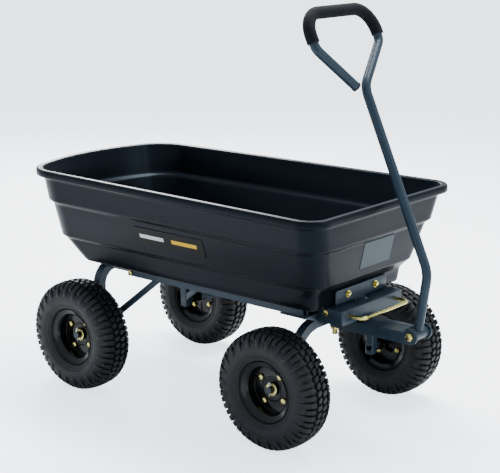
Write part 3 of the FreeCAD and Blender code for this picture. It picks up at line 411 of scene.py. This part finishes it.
for corner, side in (("front_left", 1), ("front_right", -1), ("rear_left", 1), ("rear_right", -1)):
    body = "wheel_" + corner
    low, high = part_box("tyre_" + corner)
    middle = (low + high) / 2
    start_angle = {"front_left": 4, "front_right": 17, "rear_left": 9, "rear_right": 1}[corner]
    face_out = Matrix.Translation(middle) @ Matrix.Rotation(0 if side > 0 else math.pi, 4, "Z")
    face_in = Matrix.Translation(middle) @ Matrix.Rotation(math.pi if side > 0 else 0, 4, "Z")
    spin = Matrix.Rotation(math.radians(start_angle), 4, "Y")
    for source, matrix, node, slot in ((tyre, face_out @ spin, "tyre_", "tyre_rubber"),
                                       (rim, face_out, "rim_outer_", "rim_paint"),
                                       (rim, face_in, "rim_inner_", "rim_paint")):
        piece = turned_copy(source, matrix, node + corner + "_shown")
        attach(piece, body)
        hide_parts(node + corner)
    from_frame("hub_" + corner, enamel)
    from_frame("bearings_" + corner, bearing_steel)
    from_frame("rim_bolts_" + corner, yellow_zinc, 0.5)
bpy.data.objects.remove(tyre)
bpy.data.objects.remove(rim)

# -----------------------------------------------------------------------------
# Grip. A black foam sleeve pushed over the loop's top bar and round both bends,
# and a moulded plastic cap in the tube's open end.
# -----------------------------------------------------------------------------
# Closed-cell foam: matt and soft, with cells about 0.8 mm across, drawn 1.6 mm.
foam = finish_of("foam_closed_cell", ("#0c0f13", "#12161b"), 14, (0.8, 0.92), 1.6, 0.25,
                 **{"IOR": 1.45, "Specular IOR Level": 0.2})
# Injection moulded cap: dull black plastic.
cap_plastic = finish_of("cap_plastic_black", ("#0a0a0c", "#0e0f11"), 10, (0.4, 0.5), 1.0, 0.02,
                        IOR=1.49)
from_frame("grip_foam", foam)
from_frame("tube_end_cap", cap_plastic, 0.4)

# -----------------------------------------------------------------------------
# Tub. One piece of black high-density polyethylene, injection moulded: two steps
# run round its wall, the rear bows out, and a thick lip is turned over the rim.
# -----------------------------------------------------------------------------
# Moulded polyethylene: satin, bluish black, with a 1 mm leather grain drawn 2 mm.
polyethylene = finish_of("polyethylene_moulded", ("#070a0e", "#0a0e13"), 120, (0.26, 0.34), 2.0,
                         0.02, **{"IOR": 1.51, "Specular IOR Level": 0.12,
                                  "Specular Tint": colour("#c4def6")})
WALL = 4.5
# Height, front x, rear x, rear bulge, half width in front and behind, front and rear corner
# radius, all in millimetres.
LEVELS = [(293.3, 328.0, -349.0, 16.0, 165.0, 168.0, 26.0, 32.0),
          (327.0, 332.0, -386.0, 30.0, 172.0, 176.0, 30.0, 38.0),
          (343.0, 350.0, -404.0, 36.0, 176.0, 180.0, 36.0, 42.0),
          (350.0, 357.0, -413.0, 42.0, 183.0, 187.0, 40.0, 48.0),
          (428.0, 375.0, -424.0, 48.0, 217.0, 206.0, 50.0, 62.0),
          (436.0, 384.0, -434.0, 48.0, 226.0, 214.0, 50.0, 68.0),
          (506.0, 394.0, -449.0, 47.0, 247.5, 220.0, 52.0, 74.0)]
RIM = (506.0, 406.0, -461.0, 47.0, 259.5, 232.0, 56.0, 80.0)
# Points along the front, round each corner and along each side.
FLAT, CORNER, SIDE = 20, 18, 40


def arc(first, middle, last, count):
    """Points along the arc through three points in plan, without the last one."""
    ax, ay, bx, by, cx, cy = *first, *middle, *last
    d = 2 * (ax * (by - cy) + bx * (cy - ay) + cx * (ay - by))
    a2, b2, c2 = ax * ax + ay * ay, bx * bx + by * by, cx * cx + cy * cy
    ux = (a2 * (by - cy) + b2 * (cy - ay) + c2 * (ay - by)) / d
    uy = (a2 * (cx - bx) + b2 * (ax - cx) + c2 * (bx - ax)) / d
    rad = math.hypot(ax - ux, ay - uy)
    begin = math.atan2(ay - uy, ax - ux)
    turn = math.atan2(cy - uy, cx - ux) - begin
    half = math.atan2(by - uy, bx - ux) - begin
    full = 2 * math.pi
    turn, half = turn % full, half % full
    if half > turn:
        turn -= full
    return [(ux + rad * math.cos(begin + turn * i / count),
             uy + rad * math.sin(begin + turn * i / count)) for i in range(count)]


def plan(z, level, inset):
    """The ring of points at height z of the outline that a level gives, moved inwards."""
    front, rear, bulge, half_front, half_rear, front_rad, rear_rad = level[1:]
    front, rear, half_front, half_rear = (front - inset, rear + inset, half_front - inset,
                                          half_rear - inset)
    front_rad, rear_rad = max(front_rad - inset, 6.0), max(rear_rad - inset, 6.0)
    run = Vector((rear - front, half_rear - half_front)).normalized()
    corners = {}
    for side in (1, -1):
        along = Vector((run.x, run.y * side))
        corner, back = Vector((front, side * half_front)), Vector((rear, side * half_rear))
        front_in = Vector((front, side * (half_front - front_rad)))
        front_side, rear_side = corner + along * front_rad, back - along * rear_rad
        rear_in = Vector((rear - bulge * 0.45, side * (half_rear - rear_rad)))
        front_mid = corner + (front_in + front_side - corner * 2) * 0.29
        pull = Vector((rear - bulge * 0.12, side * half_rear))
        rear_mid = pull + (rear_in + rear_side - pull * 2) * 0.27
        corners[side] = [tuple(p) for p in (front_in, front_mid, front_side, rear_side, rear_mid,
                                            rear_in)]
    left, right = corners[1], corners[-1]
    flat = [(right[0][0], right[0][1] + (left[0][1] - right[0][1]) * i / FLAT) for i in range(FLAT)]
    flat += arc(left[0], left[1], left[2], CORNER)
    flat += [(left[2][0] + (left[3][0] - left[2][0]) * i / SIDE,
              left[2][1] + (left[3][1] - left[2][1]) * i / SIDE) for i in range(SIDE)]
    flat += arc(left[3], left[4], left[5], CORNER)
    flat += arc(left[5], (rear - bulge, 0.0), right[5], 2 * FLAT)
    flat += arc(right[5], right[4], right[3], CORNER)
    flat += [(right[3][0] + (right[2][0] - right[3][0]) * i / SIDE,
              right[3][1] + (right[2][1] - right[3][1]) * i / SIDE) for i in range(SIDE)]
    flat += arc(right[2], right[1], right[0], CORNER)
    return [(x * MM, y * MM, z * MM) for x, y in flat]


def level_at(z):
    """The outline at a height: straight between the levels below and above it."""
    for low, high in zip(LEVELS, LEVELS[1:]):
        if z <= high[0]:
            break
    share = min(max((z - low[0]) / (high[0] - low[0]), 0.0), 1.0)
    return tuple(a + (b - a) * share for a, b in zip(low, high))


outer = [(293.3, 9.0), (293.7, 4.0), (295.2, 1.2), (298.0, 0.0), (310.0, 0.0), (324.0, 0.0),
         (330.0, 0.0), (340.0, 0.0), (343.0, 0.3), (346.5, 0.0), (350.0, -0.3), (353.0, 0.0),
         (370.0, 0.0), (400.0, 0.0), (424.5, 0.0), (428.0, 0.3), (432.0, 0.0), (436.0, -0.3),
         (439.5, 0.0), (460.0, 0.0), (484.0, 0.0), (489.0, 0.0)]
lip = [(491.5, 11.0), (492.6, 9.2), (493.0, 5.0), (493.3, 2.0), (494.3, 0.6), (496.5, 0.0),
       (504.5, 0.0), (507.6, 0.7), (509.2, 2.2), (509.9, 4.0), (509.7, 6.0), (508.9, 8.0),
       (508.6, 10.0), (509.1, 12.0), (509.3, 13.4), (508.6, 15.0), (506.8, 16.0), (503.0, 16.3)]
inner = [(489.0, WALL), (460.0, WALL), (442.2, WALL), (438.7, WALL), (434.7, WALL), (430.7, WALL),
         (427.2, WALL), (400.0, WALL), (370.0, WALL), (355.7, WALL), (352.7, WALL), (349.2, WALL),
         (345.7, WALL), (342.7, WALL), (325.0, WALL), (308.0, WALL), (302.0, WALL + 1.0),
         (299.4, WALL + 3.4), (298.2, WALL + 7.0), (297.8, WALL + 12.0)]
rings = [plan(z, level_at(z), inset) for z, inset in outer]
rings += [plan(z, RIM, inset) for z, inset in lip]
rings += [plan(z, level_at(z - WALL * 0.6), inset) for z, inset in inner]
tub = wrap("tub_shown", rings, fill=True)
tub.data.materials.append(polyethylene)
smooth(tub, 180)
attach(tub, "tub")
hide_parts("tub")

# -----------------------------------------------------------------------------
# Labels. Thin vinyl stickers with no lettering, pressed on by hand: a plain grey
# one on the front wall and a black one with two printed bars on each side.
# -----------------------------------------------------------------------------
# Printed vinyl film: flat grey, with a faint satin.
vinyl = finish_of("vinyl_label_grey", ("#37464a", "#3f4e52"), 60, (0.45, 0.55), 4.0, 0.01,
                  **{"IOR": 1.5, "Specular IOR Level": 0.25})
# Side stickers: gloss black vinyl, printed with a short white bar and a longer amber bar.
printed = finish_of("vinyl_label_printed", ("#030405", "#060708"), 60, (0.3, 0.38), 4.0, 0.01,
                    **{"IOR": 1.5, "Specular IOR Level": 0.12})
tree = printed.node_tree
skin = [n for n in tree.nodes if n.type == "BSDF_PRINCIPLED"][0]
paint = skin.inputs["Base Color"].links[0].from_socket
place = add(tree, "ShaderNodeTexCoord").outputs["Object"]
where = add(tree, "ShaderNodeSeparateXYZ", {"Vector": place})
for middle_x, half_long, shade in ((-0.088, 0.036, "#c9ccce"), (0.009, 0.037, "#d9a91e")):
    inside = []
    for axis, middle, half in (("X", middle_x, half_long), ("Z", 0.3945, 0.0045)):
        inside.append(add(tree, "ShaderNodeMath", {0: where.outputs[axis], 1: middle, 2: half},
                          operation="COMPARE").outputs["Value"])
    both = add(tree, "ShaderNodeMath", {0: inside[0], 1: inside[1]}, operation="MULTIPLY")
    paint = add(tree, "ShaderNodeMix", {"Factor": both.outputs["Value"], MIX_FIRST: paint,
                                        MIX_SECOND: colour(shade)},
                data_type="RGBA").outputs[MIX_RESULT]
tree.links.new(paint, skin.inputs["Base Color"])
stickers = from_frame("labels", vinyl)
stickers.data.materials.append(printed)
for face in stickers.data.polygons:
    face.material_index = 1 if abs(face.center.y) > 0.1 else 0
